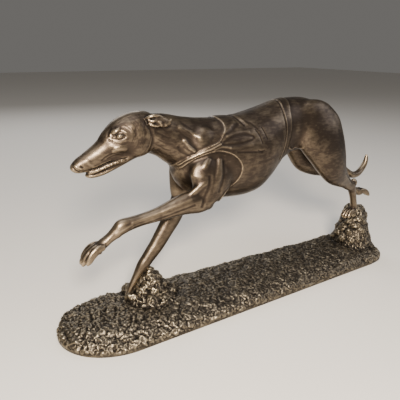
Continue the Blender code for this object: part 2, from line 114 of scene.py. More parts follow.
def smooth_rows(rows, steps=STEPS_A_ROW):
    """Rows in between the given ones, on a Catmull-Rom curve through them."""
    rows = np.array(rows, float)
    padded = np.vstack([2 * rows[0] - rows[1], rows, 2 * rows[-1] - rows[-2]])
    found = []
    for i in range(len(rows) - 1):
        a, b, c, d = padded[i : i + 4]
        for t in np.arange(steps) / steps:
            bend = (2 * a - 5 * b + 4 * c - d) * t**2 + (3 * b - a - 3 * c + d) * t**3
            found.append(0.5 * (2 * b + (c - a) * t + bend))
    found.append(rows[-1])
    return found


class Clay:
    """A mesh that grows by lofts and lumps, given in the drawing's millimetres."""

    def __init__(self, sizes):
        self.mesh = bmesh.new()
        self.unit = sizes.dog_height / DRAWN_HEIGHT
        self.crown = sizes.turf_crown
        self.shift = CAD_BOX[0].x + sizes.turf_length / 2 + TURF_LEAD * MM

    def at(self, x, y, z):
        """A point of the drawing, in metres, with the dog standing on the turf's crown."""
        return Vector((x * self.unit + self.shift, y * self.unit, self.crown + (z - DRAWN_CROWN) * self.unit))

    def drawn(self, points):
        """An array of points in metres, back in the drawing's millimetres."""
        found = (points - [self.shift, 0, 0]) / self.unit
        found[:, 2] = (points[:, 2] - self.crown) / self.unit + DRAWN_CROWN
        return found

    def add(self, form):
        """Adds a finished form.

        Each form is made in a mesh of its own, because operators slow down in a large one.
        """
        bmesh.ops.recalc_face_normals(form, faces=form.faces)
        mesh = bpy.data.meshes.new("form")
        form.to_mesh(mesh)
        form.free()
        self.mesh.from_mesh(mesh)
        bpy.data.meshes.remove(mesh)

    def loft(self, rows, upright=False, egg=0.0):
        """A closed body through rings: each row is a centre x, y, z, a half width and a half height."""
        rows = smooth_rows(rows)
        centres = [self.at(*row[:3]) for row in rows]
        form = bmesh.new()
        rings = []
        for i, row in enumerate(rows):
            along = centres[min(i + 1, len(rows) - 1)] - centres[max(i - 1, 0)]
            along = Vector((-1, 0, 0)) if upright else along.normalized()
            across = Vector((0, 1, 0)) - along * along.y
            across.normalize()
            up = along.cross(across)
            up = -up if upright and up.z < 0 else up
            width, height = max(row[3], 0.2) * self.unit, max(row[4], 0.2) * self.unit
            rings.append(ring(form, centres[i], across * width, up * height, egg))
        bridge(form, rings)
        self.add(form)

    def lump(self, centre, radii, pitch=0.0):
        """An ellipsoid of muscle or bone, tipped nose down by pitch degrees in the side view."""
        turn = Matrix.Rotation(math.radians(pitch), 4, "Y")
        size = Matrix.Diagonal((*[r * self.unit for r in radii], 1.0))
        place = Matrix.Translation(self.at(*centre)) @ turn @ size
        form = bmesh.new()
        bmesh.ops.create_uvsphere(form, u_segments=32, v_segments=20, radius=1.0, matrix=place)
        self.add(form)

    def fired(self, name, grid):
        """The clay as one object with an even skin of this grid."""
        mesh = bpy.data.meshes.new(name)
        self.mesh.to_mesh(mesh)
        self.mesh.free()
        piece = bpy.data.objects.new(name, mesh)
        bpy.context.scene.collection.objects.link(piece)
        apply_modifier(piece, "REMESH", mode="VOXEL", voxel_size=grid)
        apply_modifier(piece, "SMOOTH", factor=0.5, iterations=4)
        return piece


def ring(form, centre, across, up, egg):
    """A closed ring of edges: an ellipse, wider above its middle where egg is positive."""
    made = bmesh.ops.create_circle(form, segments=RING_SIDES, radius=1.0)["verts"]
    edges = list({e for v in made for e in v.link_edges})
    for v in made:
        c, s = v.co.x, v.co.y
        v.co = centre + across * (c * (1 + egg * s)) + up * s
    return edges


def bridge(form, rings):
    """A skin over the rings, closed at both ends."""
    for near, far in zip(rings, rings[1:]):
        bmesh.ops.bridge_loops(form, edges=near + far)
    for end in (rings[0], rings[-1]):
        bmesh.ops.contextual_create(form, geom=end)


def apply_modifier(piece, kind, **settings):
    """Puts the piece's mesh after one modifier in place of its own."""
    modifier = piece.modifiers.new(kind.title(), kind)
    for name, value in settings.items():
        setattr(modifier, name, value)
    mesh = bpy.data.meshes.new_from_object(piece.evaluated_get(bpy.context.evaluated_depsgraph_get()))
    piece.modifiers.clear()
    old, piece.data = piece.data, mesh
    bpy.data.meshes.remove(old)


# The dog's forms, from its nose at -X to its tail.


def model_trunk(clay):
    """Breastbone, deep chest, tucked-up waist and croup: x, top, bottom, half width."""
    profile = [
        (-62.2, 107.0, 95.0, 5.0),
        (-58.0, 117.5, 88.0, 9.5),
        (-50.0, 125.0, 82.0, 13.5),
        (-40.0, 129.0, 78.0, 16.0),
        (-29.0, 130.5, 75.5, 17.5),
        (-17.0, 130.0, 74.5, 18.5),
        (-5.0, 132.0, 74.5, 18.5),
        (6.0, 134.5, 77.0, 17.5),
        (15.0, 137.0, 83.5, 15.5),
        (24.0, 139.0, 92.5, 13.5),
        (35.0, 139.8, 99.0, 13.0),
        (48.0, 139.0, 101.0, 14.0),
        (59.0, 134.4, 101.0, 14.0),
        (68.5, 127.6, 101.0, 12.5),
        (75.5, 120.0, 103.0, 9.5),
        (80.0, 112.5, 106.0, 5.0),
    ]
    rows = [(x, 0.0, (top + low) / 2, wide, (top - low) / 2) for x, top, low, wide in profile]
    clay.loft(rows, upright=True, egg=0.12)


def model_head(clay):
    """The arched neck, the long skull and muzzle, the lower jaw, the brows, eyes and cheeks."""
    neck = [
        (-36.0, 0, 112.0, 12.5, 18.0),
        (-48.0, 0, 113.3, 11.5, 17.8),
        (-59.0, 0, 116.9, 10.4, 16.0),
        (-69.0, 0, 121.0, 9.2, 13.6),
        (-78.0, 0, 123.0, 8.4, 12.2),
        (-86.0, 0, 123.0, 8.0, 10.8),
    ]
    skull = [
        (-77.5, 0, 123.0, 6.5, 8.5),
        (-80.5, 0, 124.0, 8.8, 11.8),
        (-87.0, 0, 124.3, 9.6, 12.9),
        (-94.5, 0, 122.5, 9.0, 12.3),
        (-101.0, 0, 119.2, 7.4, 10.4),
        (-106.5, 0, 115.6, 6.2, 8.3),
        (-112.5, 0, 112.8, 5.3, 6.6),
        (-118.5, 0, 110.2, 4.5, 5.5),
        (-123.5, 0, 108.6, 3.9, 4.3),
        (-126.3, 0, 108.5, 2.9, 3.0),
        (-127.8, 0, 109.0, 1.0, 1.0),
    ]
    jaw = [
        (-88.0, 0, 114.5, 6.8, 4.4),
        (-97.0, 0, 109.5, 5.4, 3.4),
        (-104.0, 0, 106.1, 4.6, 2.7),
        (-110.5, 0, 103.6, 3.8, 2.2),
        (-115.5, 0, 102.6, 3.1, 1.9),
        (-118.4, 0, 102.7, 2.3, 1.5),
        (-119.4, 0, 103.2, 0.8, 0.6),
    ]
    lips = [
        (-92.0, 0, 111.8, 6.8, 2.8),
        (-98.0, 0, 110.8, 6.1, 2.5),
        (-104.0, 0, 109.0, 5.4, 2.4),
        (-110.0, 0, 106.9, 4.6, 2.2),
        (-114.5, 0, 105.3, 3.8, 1.9),
        (-117.6, 0, 104.5, 2.7, 1.4),
        (-118.8, 0, 104.3, 1.2, 0.6),
    ]
    for rows in (neck, skull, jaw, lips):
        clay.loft(rows)
    for side in (-1, 1):
        clay.lump((-101.2, side * 4.9, 127.7), (4.0, 2.0, 1.8), pitch=-28)
        clay.lump((-100.6, side * 6.5, 124.7), (2.1, 1.9, 1.5), pitch=-20)
        clay.lump((-99.0, side * 5.8, 118.4), (7.5, 2.6, 3.2), pitch=-22)
        clay.lump((-87.0, side * 4.8, 118.5), (9.0, 4.6, 8.0), pitch=-14)
        clay.lump((-45.5, side * 8.6, 116.0), (9.0, 5.4, 10.5), pitch=24)
        clay.lump((-55.0, side * 7.2, 112.5), (8.0, 5.0, 7.0), pitch=24)
        model_ear(clay, side)


def model_ear(clay, side):
    """A rose ear, folded back along the neck, with its edge and its lobe curled over."""
    shell = [
        (-85.0, side * 5.2, 131.0, 1.2, 1.6),
        (-81.5, side * 6.8, 131.6, 2.0, 3.0),
        (-76.5, side * 8.3, 131.2, 2.0, 3.6),
        (-72.0, side * 8.6, 130.4, 1.6, 3.0),
        (-68.5, side * 8.0, 130.2, 1.2, 1.4),
    ]
    fold = [
        (-84.5, side * 6.6, 133.2, 0.6, 0.7),
        (-82.3, side * 8.6, 134.4, 0.9, 0.9),
        (-79.5, side * 9.2, 134.9, 0.9, 0.9),
        (-76.5, side * 9.0, 134.6, 0.8, 0.8),
        (-73.0, side * 8.6, 133.4, 0.6, 0.6),
    ]
    inner_fold = [
        (-83.6, side * 8.2, 132.6, 0.5, 0.5),
        (-81.2, side * 9.5, 131.9, 0.8, 0.8),
        (-79.0, side * 9.7, 132.2, 0.7, 0.7),
        (-77.0, side * 9.4, 132.8, 0.5, 0.5),
    ]
    lower_rim = [
        (-83.6, side * 8.4, 130.6, 0.6, 0.6),
        (-81.0, side * 9.6, 129.4, 0.9, 0.9),
        (-78.2, side * 9.8, 128.8, 0.8, 0.9),
        (-76.0, side * 9.6, 129.4, 0.5, 0.5),
    ]
    first_drop = [
        (-78.4, side * 9.6, 131.4, 0.5, 0.5),
        (-76.6, side * 10.0, 131.2, 0.8, 0.9),
        (-75.6, side * 10.0, 129.4, 0.7, 0.9),
        (-75.4, side * 9.6, 128.2, 0.4, 0.5),
    ]
    second_drop = [
        (-74.4, side * 9.2, 131.8, 0.5, 0.5),
        (-73.0, side * 9.8, 130.0, 0.7, 0.9),
        (-71.8, side * 9.6, 128.4, 0.6, 0.7),
    ]
    wing = [
        (-72.2, side * 9.2, 129.2, 0.4, 0.4),
        (-70.6, side * 9.4, 130.8, 0.7, 0.7),
        (-68.2, side * 8.8, 131.8, 0.6, 0.6),
        (-67.0, side * 8.2, 131.6, 0.3, 0.3),
    ]
    for rows in (shell, fold, inner_fold, lower_rim, first_drop, second_drop, wing):
        clay.loft(rows)


def model_paw(clay, heel, tip, spread, size):
    """Four arched toes side by side, with their nails: the middle pair reach further."""
    heel, tip = np.array(heel), np.array(tip)
    shares = ((0.0, 0.0, 0.7), (0.35, 0.55, 1.0), (0.65, 0.5, 1.0), (0.9, -0.1, 0.8), (1.0, -0.5, 0.3))
    for place in (-1.5, -0.5, 0.5, 1.5):
        reach = 1.0 if abs(place) < 1 else 0.86
        rows = []
        for share, arch, swell in shares:
            x, y, z = heel + (tip - heel) * share * reach
            y += place * spread * (0.8 + 0.3 * share)
            rows.append((x, y, z + arch * size, 0.44 * spread * swell + 0.1, 0.75 * size * swell))
        clay.loft(rows)
        x, y, z = heel + (tip - heel) * 0.98 * reach
        y += place * spread * 1.1
        nail = [(x, y, z + 0.1 * size, 0.5, 0.6), (x + (tip - heel)[0] * 0.06, y, z - 0.35 * size, 0.3, 0.4)]
        clay.loft(nail)


def model_near_foreleg(clay):
    """The left foreleg, reaching forward clear of the turf."""
    upper = [
        (-41.0, -10.5, 106.5, 4.0, 9.0),
        (-41.5, -12.5, 101.0, 5.4, 15.0),
        (-42.0, -13.6, 94.0, 6.0, 16.6),
        (-44.5, -14.2, 87.0, 5.9, 13.4),
        (-47.5, -14.5, 81.0, 5.4, 9.2),
        (-48.5, -14.5, 76.0, 4.4, 6.2),
        (-48.5, -14.5, 73.0, 2.4, 3.0),
    ]
    lower = [
        (-44.0, -14.5, 78.0, 3.6, 4.4),
        (-50.0, -14.5, 79.0, 5.2, 7.2),
        (-58.0, -14.3, 80.0, 5.2, 7.6),
        (-68.0, -13.8, 78.8, 4.8, 6.4),
        (-79.0, -13.2, 76.3, 4.2, 4.9),
        (-90.0, -12.6, 74.6, 3.6, 4.2),
        (-98.0, -12.2, 73.4, 3.6, 4.5),
        (-103.4, -12.0, 72.3, 3.8, 5.0),
        (-107.4, -11.8, 69.6, 3.4, 3.9),
        (-111.5, -11.6, 66.8, 3.0, 3.0),
        (-115.4, -11.4, 64.2, 3.4, 3.1),
        (-119.0, -11.3, 61.8, 3.8, 2.9),
    ]
    clay.loft(upper)
    clay.loft(lower)
    model_paw(clay, heel=(-116.0, -11.4, 63.0), tip=(-129.4, -11.6, 55.2), spread=2.8, size=3.3)
    clay.lump((-119.2, -11.3, 60.4), (2.8, 3.6, 2.0), pitch=38)
    clay.lump((-44.5, -14.5, 77.0), (4.0, 3.2, 4.5))
    clay.lump((-106.2, -11.8, 67.0), (1.8, 1.6, 1.5))
    shoulder = [
        (-44.5, -15.2, 107.0, 1.6, 1.6),
        (-48.5, -15.8, 102.2, 2.4, 3.0),
        (-52.0, -14.8, 98.2, 1.6, 1.8),
    ]
    crossing = [
        (-47.5, -17.2, 97.2, 1.2, 1.2),
        (-52.0, -16.8, 96.0, 1.7, 1.8),
        (-56.0, -15.0, 95.2, 1.2, 1.2),
    ]
    front_muscle = [
        (-44.5, -18.0, 95.0, 1.4, 1.4),
        (-50.5, -17.8, 91.8, 2.0, 2.4),
        (-57.0, -16.7, 87.4, 1.9, 2.3),
        (-63.0, -15.2, 83.0, 1.4, 1.6),
    ]
    long_muscle = [
        (-37.0, -15.6, 106.0, 1.8, 2.0),
        (-39.6, -17.6, 97.0, 2.4, 3.4),
        (-43.2, -18.1, 88.5, 2.3, 3.2),
        (-47.0, -17.8, 79.5, 1.8, 2.2),
    ]
    for rows in (shoulder, crossing, front_muscle, long_muscle):
        clay.loft(rows)


def model_far_foreleg(clay):
    """The right foreleg, landing: its pastern narrows and is sunk in the turf that it throws up."""
    upper = [
        (-41.0, 10.5, 106.5, 4.0, 9.0),
        (-42.0, 12.0, 101.0, 5.4, 14.0),
        (-44.0, 12.8, 94.0, 5.8, 14.0),
        (-46.5, 12.8, 86.0, 5.6, 11.4),
        (-48.5, 12.4, 79.0, 5.2, 8.6),
        (-49.0, 12.0, 74.0, 4.0, 6.0),
    ]
    lower = [
        (-45.0, 12.2, 81.0, 3.6, 4.5),
        (-49.5, 12.0, 74.5, 4.9, 6.4),
        (-55.4, 11.4, 63.8, 4.8, 6.9),
        (-62.4, 10.8, 54.2, 4.4, 6.1),
        (-69.9, 10.2, 44.3, 4.0, 5.4),
        (-76.5, 9.8, 37.5, 3.7, 4.8),
        (-80.7, 9.6, 32.7, 3.8, 4.5),
        (-84.5, 9.4, 27.9, 3.0, 3.3),
        (-88.0, 9.2, 22.5, 2.6, 2.7),
        (-91.4, 9.0, 16.5, 2.6, 2.5),
        (-93.4, 9.0, 10.0, 2.4, 2.4),
    ]
    clay.loft(upper)
    clay.loft(lower)


def model_hind_legs(clay):
    """Both hind legs thrust back: the near paw stands on the clod, the far one trails behind it."""
    near = [
        (50.0, -8.0, 127.0, 6.5, 17.0),
        (56.5, -10.0, 115.0, 8.6, 21.0),
        (64.0, -11.5, 102.5, 8.6, 18.5),
        (70.5, -12.0, 91.5, 7.8, 15.4),
        (77.2, -11.5, 82.4, 6.6, 12.2),
        (85.0, -10.2, 76.0, 5.2, 8.8),
        (92.5, -8.8, 71.3, 4.0, 6.2),
        (98.5, -7.6, 67.4, 3.3, 4.8),
        (104.0, -6.6, 64.0, 3.0, 4.2),
        (107.6, -5.8, 58.0, 2.8, 3.3),
        (110.6, -5.0, 51.0, 2.7, 2.9),
        (112.4, -4.4, 45.0, 3.0, 3.2),
        (111.0, -4.0, 40.0, 3.6, 3.2),
    ]
    far = [
        (52.0, 8.0, 127.0, 6.5, 17.0),
        (58.0, 10.0, 115.0, 8.6, 21.5),
        (64.0, 11.5, 102.4, 8.6, 18.6),
        (71.5, 12.0, 92.4, 7.6, 17.4),
        (80.0, 11.5, 84.6, 6.4, 12.6),
        (89.5, 10.4, 78.4, 5.0, 8.0),
        (98.0, 9.2, 72.5, 3.9, 5.8),
        (105.0, 8.2, 68.0, 3.3, 4.4),
        (111.0, 7.6, 64.4, 3.0, 3.8),
        (118.0, 7.2, 59.4, 2.7, 3.0),
        (125.5, 7.0, 55.0, 2.7, 2.9),
        (131.0, 6.8, 52.4, 3.3, 3.3),
        (134.0, 6.7, 51.6, 3.1, 2.9),
    ]
    clay.loft(near)
    clay.loft(far)
    model_paw(clay, heel=(112.5, -4.2, 41.0), tip=(102.0, -4.0, 37.6), spread=2.2, size=3.0)
    model_paw(clay, heel=(129.0, 6.8, 53.0), tip=(144.2, 6.5, 48.6), spread=2.1, size=3.0)
    clay.lump((107.5, -6.0, 67.2), (3.0, 2.6, 3.6), pitch=-20)
    clay.lump((113.5, 7.6, 66.8), (3.2, 2.6, 3.0), pitch=-20)
    for side in (-1, 1):
        clay.lump((54.0, side * 8.0, 126.0), (19.0, 7.2, 12.0), pitch=12)
        clay.lump((41.0, side * 8.6, 129.6), (7.0, 4.2, 5.0), pitch=20)


def model_tail(clay):
    """The tail: down behind the thighs, past the near hock, and up again at its tip."""
    rows = [
        (72.0, 0, 120.5, 3.6, 3.6),
        (79.6, 0, 114.0, 3.4, 3.4),
        (84.8, 0, 104.5, 3.1, 3.1),
        (88.6, 0, 94.5, 2.9, 2.9),
        (93.6, 0, 85.2, 2.8, 2.8),
        (101.5, -0.8, 77.4, 2.8, 2.8),
        (109.0, -1.2, 72.8, 2.8, 2.8),
        (116.5, -0.8, 72.2, 2.7, 2.7),
        (122.8, 0, 75.2, 2.5, 2.5),
        (126.8, 0, 80.4, 2.2, 2.2),
        (127.6, 0, 85.4, 1.5, 1.5),
        (127.2, 0, 87.6, 0.7, 0.7),
    ]
    clay.loft(rows)


# The jacket's edges in the side view, x and z in the drawing's millimetres. The armhole is a closed loop.
COLLAR = [
    (-38.0, 133.0),
    (-34.5, 131.6),
    (-31.2, 128.5),
    (-31.0, 124.8),
    (-33.3, 120.8),
    (-37.5, 116.4),
    (-44.8, 113.8),
    (-52.5, 110.4),
    (-60.0, 106.6),
    (-65.0, 102.0),
]
HEM = [(28.0, 140.0), (25.4, 131.0), (25.4, 119.0), (24.0, 106.0), (21.0, 92.0)]
ARMHOLE = [
    (-60.5, 101.0),
    (-57.0, 104.6),
    (-52.5, 107.6),
    (-46.6, 109.7),
    (-41.6, 110.8),
    (-36.0, 110.8),
    (-28.0, 108.0),
    (-22.2, 102.6),
    (-20.2, 97.0),
    (-21.6, 91.0),
    (-25.7, 86.6),
    (-32.5, 84.4),
    (-38.0, 79.0),
    (-39.0, 66.0),
    (-70.0, 64.0),
    (-69.0, 88.0),
]

# Each edge's line, whether it is closed, the height of its cord as a share, and the cord's half width.
CORDED_EDGES = [
    (COLLAR, False, 0.42, 0.5),
    (HEM, False, 0.36, 0.5),
    (ARMHOLE, True, 0.5, 0.5),
]

# Fine lines in the same view. Each has a name, the height that it stands out, negative for a groove, its
# half width, how far from the dog's middle it begins, and its points.
HEAD_LINES = [
    ("upper lid", -0.26, 0.3, 4.0, [
        (-105.0, 123.4), (-103.4, 125.2), (-101.4, 126.0), (-99.2, 125.8), (-97.6, 124.4),
    ]),
    ("lower lid", -0.2, 0.28, 4.0, [
        (-105.0, 123.4), (-102.8, 122.9), (-100.2, 122.9), (-98.4, 123.5), (-97.6, 124.4),
    ]),
    ("brow", 0.18, 0.5, 4.0, [(-103.0, 127.4), (-101.2, 127.9), (-98.8, 127.6), (-97.0, 126.4)]),
    ("crease over the brow", -0.08, 0.5, 4.0, [
        (-102.6, 129.2), (-99.6, 129.5), (-96.4, 128.4), (-94.8, 126.2),
    ]),
    ("bag under the eye", 0.12, 0.7, 4.0, [(-102.6, 121.5), (-100.4, 121.2), (-98.0, 121.9)]),
    ("crease under the eye", -0.08, 0.5, 4.0, [
        (-104.6, 121.2), (-102.0, 120.1), (-99.0, 120.0), (-96.4, 121.2),
    ]),
    ("fold before the eye", 0.26, 0.4, 3.0, [(-103.4, 129.0), (-104.6, 127.0), (-105.6, 124.9)]),
    ("crease before the eye", -0.2, 0.4, 3.0, [(-104.8, 129.0), (-106.0, 127.0), (-106.9, 124.6)]),
    ("tear hollow", -0.3, 0.6, 4.0, [(-106.6, 122.6), (-105.0, 121.9)]),
    ("cheekbone", 0.42, 1.9, 4.0, [(-105.2, 118.8), (-101.6, 118.0), (-97.8, 116.8)]),
    ("cheek fold", -0.2, 0.42, 3.0, [
        (-111.3, 111.5), (-108.6, 113.6), (-105.2, 114.8), (-101.8, 115.1), (-98.4, 114.2),
    ]),
    ("second cheek fold", -0.16, 0.4, 3.0, [
        (-108.0, 112.2), (-105.4, 113.3), (-102.6, 113.7), (-98.6, 113.2),
    ]),
    ("third cheek fold", -0.12, 0.4, 3.0, [(-104.0, 116.1), (-101.4, 116.2), (-98.4, 115.4)]),
    ("edge of the cheek", -0.3, 1.1, 3.0, [(-85.0, 131.4), (-81.6, 125.7), (-80.4, 119.8), (-82.4, 114.0)]),
    ("mouth", -0.42, 0.34, 1.0, [
        (-121.6, 105.9), (-116.3, 106.6), (-113.0, 107.4), (-109.5, 108.8), (-106.9, 109.5),
        (-102.6, 110.4), (-99.1, 111.2), (-96.0, 111.5),
    ]),
    ("upper lip", 0.2, 0.5, 1.5, [(-116.3, 107.6), (-113.0, 108.5), (-109.5, 109.9), (-106.0, 110.9)]),
    ("lower lip", 0.3, 1.1, 1.0, [
        (-119.2, 104.4), (-114.0, 105.2), (-109.0, 106.7), (-104.0, 108.4), (-99.0, 109.6),
    ]),
    ("edge of the jaw", -0.2, 0.35, 1.0, [
        (-118.6, 102.9), (-113.0, 103.5), (-108.0, 105.0), (-102.4, 107.0), (-96.6, 108.3),
    ]),
    ("nostril", -0.6, 0.5, 1.0, [(-127.4, 108.7), (-125.9, 106.9), (-124.0, 105.8)]),
    ("rim of the nostril", 0.35, 0.45, 1.0, [(-126.3, 109.5), (-124.6, 108.4), (-123.2, 107.7)]),
    ("corner of the nostril", -0.4, 0.4, 2.0, [(-123.0, 109.0), (-122.2, 108.5)]),
    ("muzzle fold", 0.2, 1.0, 2.0, [(-119.6, 112.0), (-118.6, 110.2), (-116.6, 108.8)]),
]
NECK_LINES = [
    ("neck muscle", 0.25, 2.6, 4.0, [(-77.0, 120.8), (-70.4, 116.0), (-64.0, 110.0)]),
    ("throat groove", -0.2, 1.6, 3.0, [(-76.0, 113.0), (-70.0, 108.8), (-65.6, 105.4)]),
    ("crest muscle", 0.6, 1.8, 3.0, [(-61.5, 126.4), (-55.6, 123.4), (-50.0, 120.0)]),
    ("hollow of the neck", -0.25, 2.2, 4.0, [(-62.0, 121.4), (-57.0, 118.6), (-52.0, 116.4)]),
    ("shoulder muscle", 0.6, 1.3, 4.0, [(-59.6, 118.6), (-57.0, 114.8), (-54.0, 112.0)]),
    ("hollow above the chest", -0.35, 1.4, 3.0, [(-63.4, 115.0), (-60.6, 111.6), (-57.4, 109.4)]),
]
JACKET_LINES = [
    ("cord below the collar", 0.5, 0.5, 4.0, [
        (-36.6, 115.0), (-42.9, 112.5), (-49.4, 110.5), (-57.6, 106.8), (-61.6, 103.2),
    ]),
    ("fold at the collar", 0.3, 0.6, 4.0, [(-30.0, 112.4), (-36.0, 113.4), (-41.0, 112.0)]),
    ("seam inside the hem", -0.28, 0.4, 0.0, [
        (20.0, 140.0), (18.2, 131.0), (19.0, 120.0), (18.2, 108.0), (15.0, 99.0),
    ]),
    ("second seam of the hem", 0.2, 0.4, 0.0, [
        (21.6, 140.0), (19.6, 131.0), (20.4, 120.0), (19.6, 108.0), (16.4, 99.0),
    ]),
    ("first crease", -0.24, 0.9, 6.0, [(-36.0, 117.1), (-33.3, 119.7), (-26.4, 122.6), (-20.0, 125.5)]),
    ("fold over the first crease", 0.16, 0.9, 6.0, [(-34.6, 120.6), (-28.0, 124.4), (-22.0, 127.2)]),
    ("second crease", -0.24, 0.9, 6.0, [(-33.9, 116.0), (-26.3, 118.7), (-17.6, 119.1), (-11.6, 117.9)]),
    ("fold over the second crease", 0.18, 0.9, 6.0, [(-31.0, 119.4), (-22.0, 121.4), (-14.0, 121.0)]),
    ("third crease", -0.22, 0.8, 6.0, [
        (-34.6, 114.5), (-29.7, 114.3), (-22.5, 114.2), (-15.2, 115.2), (-10.8, 116.9),
    ]),
    ("fold under the third crease", 0.16, 1.0, 6.0, [(-30.0, 112.2), (-21.0, 112.0), (-13.0, 113.0)]),
    ("fourth crease", -0.2, 0.8, 6.0, [(-24.5, 109.1), (-14.8, 108.4), (-5.2, 107.4)]),
    ("crease of the ribs", -0.18, 0.9, 6.0, [(-25.7, 124.2), (-20.1, 126.1), (-11.2, 126.0), (-7.2, 122.1)]),
    ("belly crease", -0.14, 1.2, 6.0, [(-6.8, 100.8), (1.1, 101.1), (11.4, 103.0)]),
    ("saddle crease", -0.26, 0.8, 0.0, [(-23.6, 133.0), (-20.7, 131.0), (-17.6, 127.3), (-16.0, 124.8)]),
    ("fold beside the saddle crease", 0.2, 0.9, 0.0, [
        (-20.0, 133.4), (-17.8, 131.0), (-15.0, 127.6), (-13.4, 125.4),
    ]),
    ("first stroke on the flank", -0.24, 0.32, 6.0, [(-8.8, 121.8), (-6.7, 118.3), (-4.6, 113.0)]),
    ("second stroke on the flank", -0.24, 0.32, 6.0, [(-3.4, 122.6), (-2.0, 119.6), (-0.4, 115.4)]),
    ("third stroke on the flank", -0.2, 0.32, 6.0, [(-8.6, 108.9), (-6.0, 108.0), (-3.2, 108.2)]),
]
LIMB_LINES = [
    ("groove of the thigh", -0.25, 2.6, 6.0, [(66.0, 126.0), (71.0, 112.0), (78.0, 96.0), (88.0, 82.0)]),
    ("groove before the thigh", -0.2, 2.4, 6.0, [(36.0, 124.0), (37.0, 114.0), (42.0, 104.0)]),
    ("fold of the flank", 0.4, 0.7, 6.0, [(27.5, 105.2), (32.0, 103.3), (35.4, 104.6), (39.1, 103.7)]),
    ("tendon above the hock", -0.4, 1.0, 3.0, [(86.0, 80.0), (93.0, 74.4), (100.0, 69.6)]),
]
NEAR_ARM_LINES = [
    ("groove of the forearm", -0.22, 0.8, 9.0, [(-58.0, 79.6), (-72.0, 76.4), (-86.0, 73.2), (-97.0, 71.2)]),
    ("tendon of the forearm", 0.25, 0.9, 9.0, [(-60.0, 83.4), (-75.0, 79.6), (-88.0, 76.4), (-98.0, 74.6)]),
    ("valley of the upper arm", -0.4, 1.3, 10.0, [
        (-46.6, 96.0), (-47.6, 90.0), (-50.4, 84.0), (-52.4, 78.0),
    ]),
    ("groove behind the arm", -0.35, 1.3, 10.0, [(-34.6, 104.0), (-36.0, 95.0), (-39.6, 86.0)]),
    ("bone of the wrist", 0.25, 0.9, 9.0, [(-99.0, 73.6), (-104.0, 71.8), (-108.6, 69.6)]),
]


def scattered(count):
    """Pairs of numbers between 0 and 1 that fill a square evenly, in no pattern."""
    return [(i * 0.618 % 1, i * 0.7549 % 1) for i in range(count)]


def lip_wrinkle(x):
    """A short upright wrinkle across the lips."""
    rise, lean = 0.26 * (x + 114.0), 0.7 * math.sin(5 * x)
    points = [(x, 106.9 + rise), (x + lean, 105.9 + rise), (x + 0.2, 104.9 + rise)]
    return "wrinkle of the lips", -0.18, 0.24, 1.0, points


def temple_hair(r, start):
    """A short arc of brushed hair around the eye."""
    angles = np.linspace(start, start - 0.55, 4)
    ahead = [r + 0.3 * math.sin(4 * a + r) for a in angles]
    points = [(-100.5 + far * math.cos(a), 124.5 + r * math.sin(a)) for a, far in zip(angles, ahead)]
    return "brushed hair of the temple", -0.07, 0.3, 3.0, points


def neck_hair(x, z):
    """A short wavy strand of brushed hair down the neck."""
    fall = 0.5 + 0.4 * math.sin(0.3 * x)
    points = [(x + step * 1.3, z - step * fall + 0.15 * math.sin(2 * step + x)) for step in range(4)]
    return "brushed hair of the neck", -0.035, 0.3, 3.0, points


LIP_WRINKLES = [lip_wrinkle(x) for x in np.arange(-117.6, -96.0, 0.95)]
TEMPLE_HAIR = [temple_hair(7.2 + 12.0 * a, 1.1 - 1.4 * b) for a, b in scattered(44)]
NECK_HAIR = [neck_hair(-80.0 + 24.0 * a, 108.0 + 22.0 * b) for a, b in scattered(110)]


def line_distance(points, line, closed=False):
    """The distance of each point from a smooth line in the side view."""
    line = np.array(smooth_rows(line + line[:1] if closed else line, steps=5))
    a, b = line[:-1], line[1:]
    nearest = np.full(len(points), np.inf)
    for start, end in zip(a, b):
        along = end - start
        share = np.clip(((points - start) @ along) / max(along @ along, 1e-9), 0, 1)
        nearest = np.minimum(nearest, np.hypot(*(points - start - share[:, None] * along).T))
    return nearest


def within(points, loop):
    """Whether each point lies inside a closed loop in the side view."""
    loop = np.array(smooth_rows(loop + loop[:1]))
    inside = np.zeros(len(points), bool)
    x, z = points.T
    for (x0, z0), (x1, z1) in zip(loop, loop[1:]):
        crosses = (z0 > z) != (z1 > z)
        inside ^= crosses & (x < x0 + (z - z0) * (x1 - x0) / (z1 - z0 if z1 != z0 else 1.0))
    return inside


def carve_lines(points, lift, lines, where=True):
    """Adds each line's rounded ridge or groove to the lift, in the drawing's millimetres."""
    side = points[:, [0, 2]]
    away = np.abs(points[:, 1])
    for _, height, half_width, least, line in lines:
        low, high = np.min(line, 0) - 3 * half_width, np.max(line, 0) + 3 * half_width
        near = np.flatnonzero(((side > low) & (side < high)).all(1) & (away > least) & where)
        reach = line_distance(side[near], line) / half_width
        fade = rising(away[near], least, 1.5)
        lift[near] += height * fade * np.exp(-(reach**2))


def jacket_lift(points, cloth_height, cord_height):
    """How far the jacket's cloth and its corded edges stand out from the body."""
    side = points[:, [0, 2]]
    x, z = side.T
    away = np.abs(points[:, 1])
    collar_z, collar_x = zip(*sorted((height, place) for place, height in COLLAR))
    hem_z, hem_x = zip(*sorted((height, place) for place, height in HEM))
    before = rising(x, np.interp(z, collar_z, collar_x), 0.5)
    behind = rising(x, np.interp(z, hem_z, hem_x), -0.5)
    flank = rising(away, 5, 3)
    bare = within(side, ARMHOLE) * flank
    above_belly = z > 72
    lift = cloth_height * before * behind * above_belly * (1 - bare)
    body = above_belly & (x > -66) & (x < 30)
    on_arm = (away > 12) & (z < 88) & (x < -34)
    for line, closed, height, half_width in CORDED_EDGES:
        reach = line_distance(side, line, closed) / half_width
        shown = body & ~on_arm if closed else body
        ridge = height * cord_height * np.exp(-(reach**2)) * shown
        lift = np.maximum(lift, ridge * (flank if closed else 1) + lift * 0.5)
    return lift


